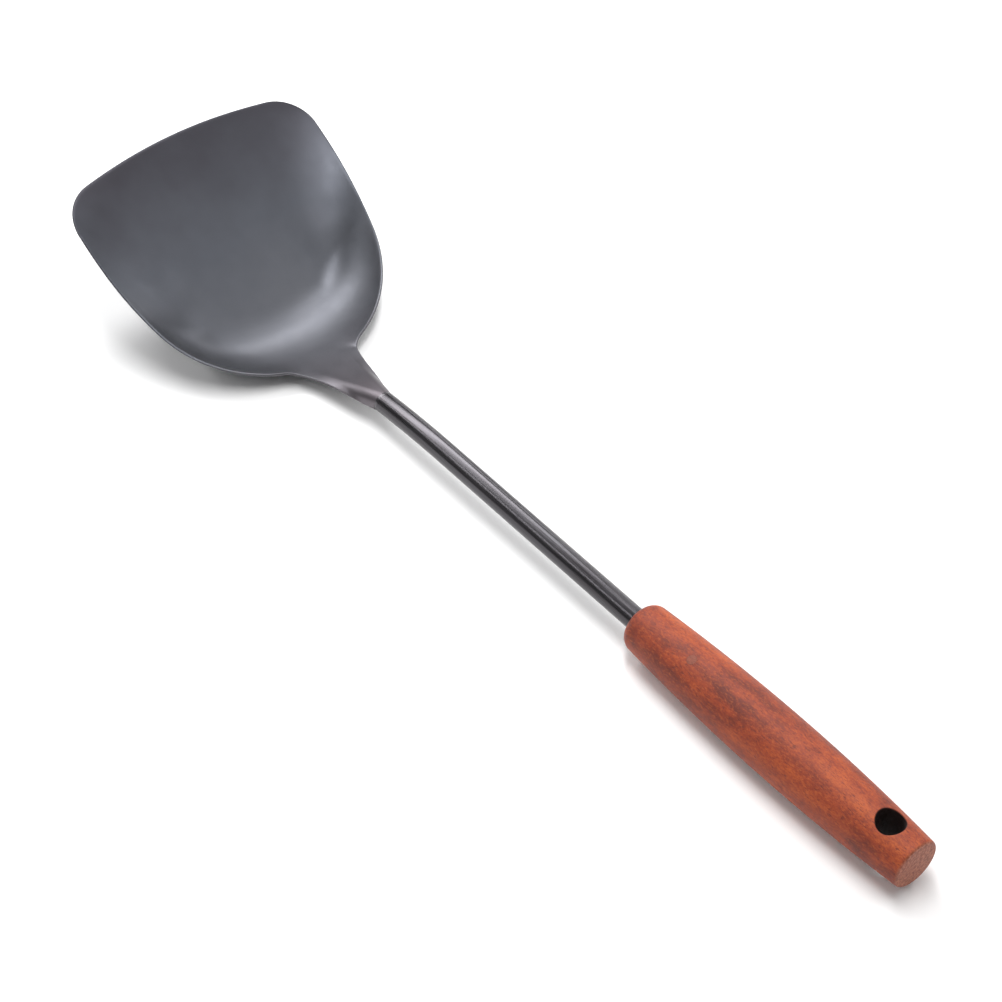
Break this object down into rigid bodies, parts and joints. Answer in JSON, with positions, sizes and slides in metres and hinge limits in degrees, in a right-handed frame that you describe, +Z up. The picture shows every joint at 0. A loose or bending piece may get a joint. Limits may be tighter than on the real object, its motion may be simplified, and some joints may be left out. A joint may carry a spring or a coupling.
{
  "type": "wok spatula",
  "caption": "Wok spatula with a dished steel blade, a round steel shank and a barrel-shaped hardwood handle with a hanging hole.",
  "frame": {"origin": "under the middle of the tool's box, in the plane it stands on: the heel of the blade and the belly of the handle touch this plane", "axes": "+X along the handle and shank towards the blade's front edge, +Z up on the hollow side of the blade, Y across the blade"},
  "size_m": [0.391, 0.1064, 0.051],
  "materials": {
    "blade_steel": "dark grey burnt-in oil finish, satin",
    "shank_steel": "dark grey burnt-in oil finish, smooth, glossier than the blade",
    "weld": "ground flush and blackened with the blade",
    "handle_wood": "red-brown hardwood with short dark pores, oiled, dull",
    "resin": "set epoxy resin",
    "pin_steel": "bare drawn steel",
    "wood_filler": "red-brown filler, dull"
  },
  "bodies": {
    "root": {"blade": "blade_steel", "shank_tube": "shank_steel", "neck_ring_weld": "weld", "neck_gutter_weld": "weld", "handle": "handle_wood", "handle_glue": "resin", "handle_pin": "pin_steel", "pin_filler": "wood_filler"}
  },
  "joints": []
}
